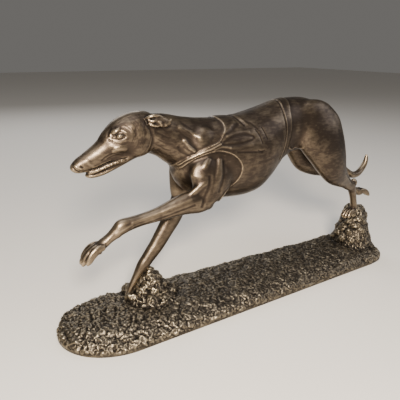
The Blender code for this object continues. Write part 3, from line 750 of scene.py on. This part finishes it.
def mesh_arrays(mesh):
    """The mesh's points, normals and edges."""
    points = np.empty(len(mesh.vertices) * 3)
    normals = np.empty(len(mesh.vertices) * 3)
    edges = np.empty(len(mesh.edges) * 2, int)
    mesh.vertices.foreach_get("co", points)
    mesh.vertices.foreach_get("normal", normals)
    mesh.edges.foreach_get("vertices", edges)
    return points.reshape(-1, 3), normals.reshape(-1, 3), edges.reshape(-1, 2)


def move_points(mesh, points):
    """Moves the mesh's points to these places."""
    mesh.vertices.foreach_set("co", points.ravel())
    mesh.update()


def relaxed(values, edges, rounds):
    """The values, each averaged with its neighbours, over and over."""
    count = len(values)
    a, b = edges.T
    share = np.bincount(a, minlength=count) + np.bincount(b, minlength=count)
    values = values.copy()
    for _ in range(rounds):
        for column in range(values.shape[1]):
            v = values[:, column]
            total = np.bincount(a, v[b], count) + np.bincount(b, v[a], count)
            values[:, column] = 0.5 * v + 0.5 * total / share
    return values


def measure_wear_shade_and_sheen(mesh, fine, broad):
    """How proud, or how deep, each point lies against the form around it: -1 to 1 at two scales. The fine
    scale is worn patina; the broad scale is painted shade and painted sheen.
    """
    points, normals, edges = mesh_arrays(mesh)
    near = relaxed(points, edges, NEAR_ROUNDS)
    far = relaxed(near, edges, FAR_ROUNDS)
    proud = ((points - near) * normals).sum(1) / fine
    # Broad relief: painted shade in the recesses where forms meet and painted sheen on broad rounded forms,
    # along with their wear.
    large = ((near - far) * normals).sum(1) / broad
    return np.clip(proud, -1, 1), np.clip(large, -1, 1)


def finish_casting(piece, fine, broad, flat=False):
    """Thins the mesh to about MOST_TRIANGLES triangles when it has more, keeps its wear and its painted shade
    and sheen in attributes, and shades it smooth.
    """
    proud, large = measure_wear_shade_and_sheen(piece.data, fine, broad)
    tree = KDTree(len(piece.data.vertices))
    for i, vertex in enumerate(piece.data.vertices):
        tree.insert(vertex.co, i)
    tree.balance()
    apply_modifier(piece, "TRIANGULATE")
    apply_modifier(piece, "DECIMATE", ratio=min(1.0, MOST_TRIANGLES / len(piece.data.polygons)))
    if flat:
        cut_flat(piece)
    index = [tree.find(vertex.co)[1] for vertex in piece.data.vertices]
    # proud holds the worn patina; large holds painted shade in broad recesses and painted sheen on broad
    # rounded forms.
    for name, values in (("proud", proud), ("large", large)):
        attribute = piece.data.attributes.new(name, "FLOAT", "POINT")
        attribute.data.foreach_set("value", values[index])
    piece.data.shade_smooth()


def cut_flat(piece):
    """Cuts the underside flat at the height of the table."""
    bm = bmesh.new()
    bm.from_mesh(piece.data)
    geom = bm.verts[:] + bm.edges[:] + bm.faces[:]
    cut = bmesh.ops.bisect_plane(
        bm, geom=geom, dist=1e-6, plane_co=(0, 0, 0), plane_no=(0, 0, -1), clear_outer=True
    )
    rim = [e for e in cut["geom_cut"] if isinstance(e, bmesh.types.BMEdge)]
    bmesh.ops.contextual_create(bm, geom=rim)
    bmesh.ops.triangulate(bm, faces=bm.faces)
    bmesh.ops.recalc_face_normals(bm, faces=bm.faces)
    bm.to_mesh(piece.data)
    bm.free()


def softness(spots):
    """How far each form melts into the next: fully on neck, trunk and thighs, not on face, ears or paws."""
    x, y, z = spots.T
    body = rising(x, -68, 8) * rising(z, 76, 8) * rising(x, 100, -10)
    neck = rising(x, -84, 6) * rising(z, 127, -3) * rising(z, 95, 5)
    thigh = rising(x, 40, 6) * rising(x, 106, -8) * rising(z, 64, 4)
    front = np.where(z < 121, -107, -98)
    cheek = 0.9 * rising(x, front, 7) * rising(x, -76, -4) * rising(z, 130, -3)
    arm = 0.7 * rising(x, -38, -4) * rising(x, -100, 4) * rising(z, 66, 6) * rising(z, 94, -6)
    shoulder = rising(np.abs(y), 13, 2) * rising(x, -70, 8) * rising(x, -31, -5)
    shoulder *= rising(z, 72, 6) * rising(z, 111, -5)
    return np.max([body, neck, thigh, cheek, arm], axis=0) * (1 - 0.5 * shoulder)


def cast_dog(sizes):
    """The dog, carved and cast."""
    clay = Clay(sizes)
    model_trunk(clay)
    model_head(clay)
    model_near_foreleg(clay)
    model_far_foreleg(clay)
    model_hind_legs(clay)
    model_tail(clay)
    piece = clay.fired("cast_greyhound", DOG_GRID)
    points, _, edges = mesh_arrays(piece.data)
    melted = relaxed(points, edges, MELT_ROUNDS)
    points += (melted - points) * softness(clay.drawn(points))[:, None]
    move_points(piece.data, points)
    points, normals, _ = mesh_arrays(piece.data)
    spots = clay.drawn(points)
    lift = jacket_lift(spots, sizes.cloth_height / clay.unit, sizes.cord_height / clay.unit)
    bare_neck = spots[:, 0] < np.interp(spots[:, 2], *zip(*sorted((z, x) for x, z in COLLAR)))
    clothed = (spots[:, 2] > 74) & ~within(spots[:, [0, 2]], ARMHOLE)
    carve_lines(spots, lift, HEAD_LINES + LIP_WRINKLES + TEMPLE_HAIR)
    carve_lines(spots, lift, NECK_LINES + NECK_HAIR, bare_neck)
    carve_lines(spots, lift, JACKET_LINES, clothed)
    carve_lines(spots, lift, LIMB_LINES)
    carve_lines(spots, lift, NEAR_ARM_LINES, spots[:, 1] < 0)
    move_points(piece.data, points + normals * lift[:, None] * clay.unit)
    finish_casting(piece, fine=0.24 * MM, broad=1.5 * MM)
    return piece


def turf_outline(sizes, inset):
    """The strip's outline in plan, inset from its edge: the head end is round, the tail end blunt."""
    half = sizes.turf_length / 2
    head, tail = sizes.turf_head_width / 2, sizes.turf_tail_width / 2
    outline = []
    for i in range(TURF_SIDES):
        angle = 2 * math.pi * (i + 0.5) / TURF_SIDES
        c, s = math.cos(angle), math.sin(angle)
        end, square = (tail, 0.55) if c > 0 else (1.15 * head, 1.0)
        x = math.copysign(half - end + end * abs(c) ** square, c)
        width = head + (tail - head) * (x + half) / (2 * half)
        y = math.copysign(width * abs(s) ** (0.8 if c > 0 else 1.0), s)
        wander = sizes.turf_wander * noise.noise(Vector((x / width, y / width, 0.0))) * abs(s)
        outline.append((x - c * inset, y - s * (inset - wander)))
    return outline


# A heap of turf: where it stands, and its rings of height and radius from the bottom up.
THROWN_TURF = ((-76.0, 8.0), [
    (4.0, 25.0), (9.0, 21.5), (12.5, 17.6), (16.0, 13.4), (20.0, 9.8), (26.0, 5.8), (30.0, 3.0), (31.5, 0.8),
])
HIND_CLOD = ((120.0, 0.0), [
    (4.0, 22.5), (10.0, 18.0), (16.0, 15.4), (24.0, 13.4), (32.0, 11.2), (38.0, 9.4), (42.0, 7.4), (44.0, 3.0),
])
LUMPS_A_HEAP = 34


def model_turf(clay, sizes):
    """The low domed strip and its two heaps, with a spare depth that the flat cut takes away."""
    spare = 4 * MM
    levels = [(0.0, -spare), (0.0, sizes.turf_edge)]
    reach = sizes.turf_tail_width / 2
    for share in (0.06, 0.14, 0.26, 0.4, 0.56, 0.74, 0.92):
        rise = (sizes.turf_crown - sizes.turf_edge) * math.sqrt(1 - (1 - share) ** 2)
        levels.append((share * reach, sizes.turf_edge + rise))
    form = bmesh.new()
    rings = []
    middle = clay.shift - TURF_LEAD * MM
    for inset, z in levels:
        verts = [form.verts.new((x + middle, y, z)) for x, y in turf_outline(sizes, inset)]
        rings.append([form.edges.new((a, b)) for a, b in zip(verts, verts[1:] + verts[:1])])
    bridge(form, rings)
    clay.add(form)
    golden = math.pi * (3 - math.sqrt(5))
    for (x, y), heap in (THROWN_TURF, HIND_CLOD):
        clay.loft([(x, y, z, radius, radius) for z, radius in heap])
        heights, radii = zip(*heap)
        for i in range(LUMPS_A_HEAP):
            height = np.interp(i, (0, LUMPS_A_HEAP - 1), (heights[1] + 2, heights[-3]))
            radius = np.interp(height, heights, radii)
            size = (0.22 * radius + 1.6) * (1.0 + 0.3 * math.sin(2.3 * i))
            away = radius - 0.62 * size
            centre = (x + away * math.cos(i * golden), y + away * math.sin(i * golden), height)
            clay.lump(centre, (size, 0.8 * size, 0.75 * size), pitch=40 * math.sin(1.7 * i))


# Vector noise is seeded from the clock unless it is given a seed.
NOISE_SEED = 7


def crumb_lift(point, crumb):
    """The height of crumbled turf at a point: crumbs with cracks between them, curled roots, and grit."""
    spot = point / crumb
    spot += 0.9 * noise.noise_vector(0.8 * spot)
    distances, centres = noise.voronoi(spot)
    crack = min(1.0, 1.6 * (distances[1] - distances[0]))
    tuft = 0.4 + 1.2 * noise.noise(7.3 * centres[0])
    curl = max(0.0, 1 - 4.0 * abs(noise.noise(0.55 * spot + Vector((7.1, 3.3, 5.9)))))
    cleft = max(0.0, 1 - 5.0 * abs(noise.noise(0.35 * spot + Vector((2.7, 8.1, 4.4)))))
    grit = noise.noise(2.6 * spot)
    return 0.8 * crack**0.6 * (0.5 + tuft) - 0.5 + 1.0 * curl - 1.2 * cleft + 0.5 * grit


def cast_turf(sizes):
    """The strip of turf, crumbled and cast."""
    noise.seed_set(NOISE_SEED)
    clay = Clay(sizes)
    model_turf(clay, sizes)
    piece = clay.fired("cast_turf", TURF_GRID)
    points, normals, _ = mesh_arrays(piece.data)
    rim = rising(points[:, 2], 0.6 * MM, 2.2 * MM)
    trodden = rising(points[:, 0], -60 * MM, -40 * MM)
    lift = np.zeros(len(points))
    for i in np.flatnonzero(rim):
        point = Vector(points[i])
        swell = noise.noise(point / (3.0 * sizes.turf_crumb)) + noise.noise(point / (7.0 * sizes.turf_crumb))
        lift[i] = rim[i] * ((1 + 0.5 * trodden[i]) * crumb_lift(point, sizes.turf_crumb) + 1.8 * swell)
        if trodden[i] > 0:
            lift[i] += rim[i] * trodden[i] * 0.8 * crumb_lift(point, 2.2 * sizes.turf_crumb)
    move_points(piece.data, points + normals * (lift * sizes.turf_relief)[:, None])
    finish_casting(piece, fine=0.4 * MM, broad=1.2 * MM, flat=True)
    return piece


def weighted(tree, value, weight, base):
    """The value times the weight, added to the base."""
    node = add_node(tree, "ShaderNodeMath", [(0, value), (2, base)], operation="MULTIPLY_ADD")
    node.inputs[1].default_value = weight
    return node.outputs[0]


def cast_bronze_finish(name, colours, grain_mm, streak_mm, mottle_mm, roughness):
    """Cold-cast bronze: bronze powder in resin, stained brown, then rubbed back on its high places.

    The stain stays dark and dull in the hollows, and the rubbed ridges show the pale gold metal. Where broad
    forms meet, the stain is also painted shade, and on broad rounded forms the pale metal is painted sheen.
    """
    material = bpy.data.materials.new(name)
    material.use_nodes = True
    tree = material.node_tree
    shader = tree.nodes["Principled BSDF"]
    shader.inputs["Metallic"].default_value = 0.92
    place = add_node(tree, "ShaderNodeTexCoord").outputs["Object"]
    proud = add_node(tree, "ShaderNodeAttribute", attribute_name="proud").outputs["Fac"]
    large = add_node(tree, "ShaderNodeAttribute", attribute_name="large").outputs["Fac"]
    mottle = add_node(
        tree, "ShaderNodeTexNoise", [("Vector", place)], Scale=1000 / mottle_mm, Detail=5.0, Roughness=0.6
    )
    grain = add_node(tree, "ShaderNodeTexNoise", [("Vector", place)], Scale=1000 / grain_mm, Detail=3.0)
    brushed = add_node(tree, "ShaderNodeMapping", [("Vector", place)], Scale=(0.22, 1.0, 0.7))
    brushed = brushed.outputs["Vector"]
    streak = add_node(tree, "ShaderNodeTexNoise", [("Vector", brushed)], Scale=1000 / streak_mm, Detail=3.0)
    # Fine relief is the rubbed patina; broad relief, at half weight, adds painted shade in broad recesses and
    # painted sheen on broad rounded forms.
    rubbed = weighted(tree, large, 0.5, proud)
    rubbed = weighted(tree, streak.outputs["Fac"], 0.55, rubbed)
    rubbed = weighted(tree, mottle.outputs["Fac"], 0.9, rubbed)
    stain = add_node(tree, "ShaderNodeMapRange", [("Value", rubbed)], **{"From Min": -0.4, "From Max": 1.85})
    ramp = add_node(tree, "ShaderNodeValToRGB", [("Fac", stain.outputs["Result"])])
    ramp.color_ramp.elements[0].position = 0.12
    ramp.color_ramp.elements[0].color = (*colours[0], 1)
    ramp.color_ramp.elements[1].position = 0.9
    ramp.color_ramp.elements[1].color = (*colours[2], 1)
    middle = ramp.color_ramp.elements.new(0.5)
    middle.color = (*colours[1], 1)
    tree.links.new(ramp.outputs["Color"], shader.inputs["Base Color"])
    polish = add_node(tree, "ShaderNodeMapRange", [("Value", stain.outputs["Result"])])
    polish.inputs["To Min"].default_value = roughness[0]
    polish.inputs["To Max"].default_value = roughness[1]
    tree.links.new(polish.outputs["Result"], shader.inputs["Roughness"])
    bump = add_node(
        tree, "ShaderNodeBump", [("Height", grain.outputs["Fac"])], Strength=0.35, Distance=0.12 * MM
    )
    tree.links.new(bump.outputs["Normal"], shader.inputs["Normal"])
    return material


def studio_floor_finish():
    """Matt laminated board: plain, pale and even."""
    material = bpy.data.materials.new("matt_white_board")
    material.use_nodes = True
    shader = material.node_tree.nodes["Principled BSDF"]
    shader.inputs["Base Color"].default_value = (*linear("#e2ded8"), 1)
    shader.inputs["Roughness"].default_value = 0.75
    return material


# The photograph's view: what it looks at, in metres, from which side and how far, and its focal length
# in widths of the picture.
VIEW_TARGET = Vector((-0.051, -0.013, 0.080))
VIEW_AZIMUTH, VIEW_ELEVATION, VIEW_ROLL = (math.radians(angle) for angle in (-33.5, 17.8, 0.7))
VIEW_DISTANCE = 0.306
VIEW_FOCAL = 1.2


def view_direction(azimuth, elevation):
    """The direction from the target towards the viewer."""
    return Vector(
        (
            math.sin(azimuth) * math.cos(elevation),
            -math.cos(azimuth) * math.cos(elevation),
            math.sin(elevation),
        )
    )


def add_camera():
    """The camera, at the photograph's viewing angle."""
    data = bpy.data.cameras.new("photograph_view")
    data.sensor_width = 36
    data.lens = VIEW_FOCAL * data.sensor_width
    data.clip_start = 0.01
    camera = bpy.data.objects.new("photograph_view", data)
    back = view_direction(VIEW_AZIMUTH, VIEW_ELEVATION)
    camera.location = VIEW_TARGET + back * VIEW_DISTANCE
    turn = back.to_track_quat("Z", "Y").to_matrix().to_4x4() @ Matrix.Rotation(VIEW_ROLL, 4, "Z")
    camera.rotation_euler = turn.to_euler()
    bpy.context.scene.collection.objects.link(camera)
    bpy.context.scene.camera = camera


def add_softbox(name, azimuth, elevation, distance, size, watts, colour):
    """A square lamp that faces the statue."""
    data = bpy.data.lights.new(name, "AREA")
    data.size = size
    data.energy = watts
    data.color = linear(colour)
    lamp = bpy.data.objects.new(name, data)
    towards = view_direction(math.radians(azimuth), math.radians(elevation))
    lamp.location = VIEW_TARGET + towards * distance
    lamp.rotation_euler = towards.to_track_quat("Z", "Y").to_euler()
    bpy.context.scene.collection.objects.link(lamp)


class StatueSizes(bpy.types.PropertyGroup):
    """The casting's sizes."""

    dog_height: FloatProperty(
        name="Dog height",
        description="From the crown of the turf to the top of the back",
        default=0.128,
        unit="LENGTH",
    )
    turf_length: FloatProperty(
        name="Turf length", description="Length of the strip of turf", default=0.281, unit="LENGTH"
    )
    turf_head_width: FloatProperty(
        name="Head end", description="Width of the strip's round end", default=0.067, unit="LENGTH"
    )
    turf_tail_width: FloatProperty(
        name="Tail end", description="Width of the strip's blunt end", default=0.0555, unit="LENGTH"
    )
    turf_crown: FloatProperty(
        name="Turf crown", description="Height of the strip along its middle", default=0.0115, unit="LENGTH"
    )
    turf_edge: FloatProperty(
        name="Turf edge", description="Height of the strip's upright edge", default=0.0035, unit="LENGTH"
    )
    turf_wander: FloatProperty(
        name="Turf wander", description="How far the strip's long edges wander", default=0.0014, unit="LENGTH"
    )
    turf_crumb: FloatProperty(
        name="Crumb", description="Width of a crumb of turf", default=0.0021, unit="LENGTH"
    )
    turf_relief: FloatProperty(
        name="Crumb height", description="How far crumbs stand out", default=0.0005, unit="LENGTH"
    )
    cloth_height: FloatProperty(
        name="Jacket cloth", description="How far the jacket stands out", default=0.0005, unit="LENGTH"
    )
    cord_height: FloatProperty(
        name="Jacket cord", description="How far its corded edges stand out", default=0.0009, unit="LENGTH"
    )


class StatueColours(bpy.types.PropertyGroup):
    """The casting's colours."""

    # The stain darkens fine hollows as patina and broad recesses as painted shade; the rubbed metal lightens
    # ridges, and broad rounded forms as painted sheen.
    stain: FloatVectorProperty(
        name="Stain", description="Brown patina in the hollows", default=linear("#1a1613"), subtype="COLOR"
    )
    bronze: FloatVectorProperty(
        name="Bronze", description="Thinly stained metal", default=linear("#413831"), subtype="COLOR"
    )
    gold: FloatVectorProperty(
        name="Rubbed metal", description="Metal on the ridges", default=linear("#998973"), subtype="COLOR"
    )
    # The turf stain is patina between the crumbs and painted shade in broad hollows; the glints are rubbed
    # crumb tips and painted sheen on broad swells.
    soil: FloatVectorProperty(
        name="Turf stain", description="Patina between the crumbs", default=linear("#1f1c19"), subtype="COLOR"
    )
    turf: FloatVectorProperty(
        name="Turf", description="Grey-brown metal of the crumbs", default=linear("#47413a"), subtype="COLOR"
    )
    glint: FloatVectorProperty(
        name="Turf glints", description="Rubbed tips of crumbs", default=linear("#8a7f6c"), subtype="COLOR"
    )


class STATUE_OT_cast_dog(bpy.types.Operator):
    """Cast the greyhound in its racing jacket"""

    bl_idname = "statue.cast_dog"
    bl_label = "Cast Greyhound"

    def execute(self, context):
        colours = context.scene.statue_colours
        piece = cast_dog(context.scene.statue_sizes)
        finish = cast_bronze_finish(
            "cold_cast_bronze_patina_painted_shade_and_sheen",
            (colours.stain, colours.bronze, colours.gold),
            grain_mm=0.45,
            streak_mm=1.1,
            mottle_mm=11.0,
            roughness=(0.5, 0.27),
        )
        piece.data.materials.append(finish)
        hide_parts(CASTING)
        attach(piece, "root")
        return {"FINISHED"}


class STATUE_OT_cast_turf(bpy.types.Operator):
    """Cast the strip of turf that the greyhound runs on"""

    bl_idname = "statue.cast_turf"
    bl_label = "Cast Turf"

    def execute(self, context):
        colours = context.scene.statue_colours
        piece = cast_turf(context.scene.statue_sizes)
        finish = cast_bronze_finish(
            "cold_cast_bronze_rough_turf",
            (colours.soil, colours.turf, colours.glint),
            grain_mm=0.6,
            streak_mm=1.6,
            mottle_mm=14.0,
            roughness=(0.62, 0.36),
        )
        piece.data.materials.append(finish)
        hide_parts(CASTING)
        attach(piece, "root")
        return {"FINISHED"}


class STATUE_OT_lay_stage(bpy.types.Operator):
    """Lay the pale floor, set the lights and the camera"""

    bl_idname = "statue.lay_stage"
    bl_label = "Lay Stage"

    def execute(self, context):
        bm = bmesh.new()
        bmesh.ops.create_grid(bm, x_segments=1, y_segments=1, size=3.0)
        mesh = bpy.data.meshes.new("studio_floor")
        bm.to_mesh(mesh)
        bm.free()
        mesh.materials.append(studio_floor_finish())
        floor = bpy.data.objects.new("studio_floor", mesh)
        context.scene.collection.objects.link(floor)
        add_camera()
        add_softbox("front_lamp", -27, 27, 0.5, 0.09, 7.0, "#fff1dc")
        add_softbox("top_softbox", -20, 75, 0.9, 0.7, 5.0, "#ffffff")
        add_softbox("side_softbox", 60, 25, 0.9, 0.5, 1.6, "#f2f5ff")
        add_softbox("back_softbox", 170, 35, 1.0, 0.6, 3.0, "#ffffff")
        world = bpy.data.worlds.new("pale_room")
        world.use_nodes = True
        background = world.node_tree.nodes["Background"]
        background.inputs["Color"].default_value = (*linear("#ece8e2"), 1)
        background.inputs["Strength"].default_value = 0.18
        context.scene.world = world
        return {"FINISHED"}


class STATUE_PT_panel(bpy.types.Panel):
    """The statue's steps, sizes and colours"""

    bl_idname = "STATUE_PT_panel"
    bl_label = "Greyhound Statue"
    bl_space_type = "VIEW_3D"
    bl_region_type = "UI"
    bl_category = "Statue"

    def draw(self, context):
        layout = self.layout
        for operator in (STATUE_OT_cast_dog, STATUE_OT_cast_turf, STATUE_OT_lay_stage):
            layout.operator(operator.bl_idname)
        for group in (context.scene.statue_sizes, context.scene.statue_colours):
            for name in group.__annotations__:
                layout.prop(group, name)


CLASSES = (
    StatueSizes,
    StatueColours,
    STATUE_OT_cast_dog,
    STATUE_OT_cast_turf,
    STATUE_OT_lay_stage,
    STATUE_PT_panel,
)


def register():
    for cls in CLASSES:
        bpy.utils.register_class(cls)
    bpy.types.Scene.statue_sizes = PointerProperty(type=StatueSizes)
    bpy.types.Scene.statue_colours = PointerProperty(type=StatueColours)


def unregister():
    del bpy.types.Scene.statue_sizes
    del bpy.types.Scene.statue_colours
    for cls in reversed(CLASSES):
        bpy.utils.unregister_class(cls)


def main():
    register()
    bpy.ops.statue.cast_dog()
    bpy.ops.statue.cast_turf()
    bpy.ops.statue.lay_stage()


if __name__ == "__main__":
    main()
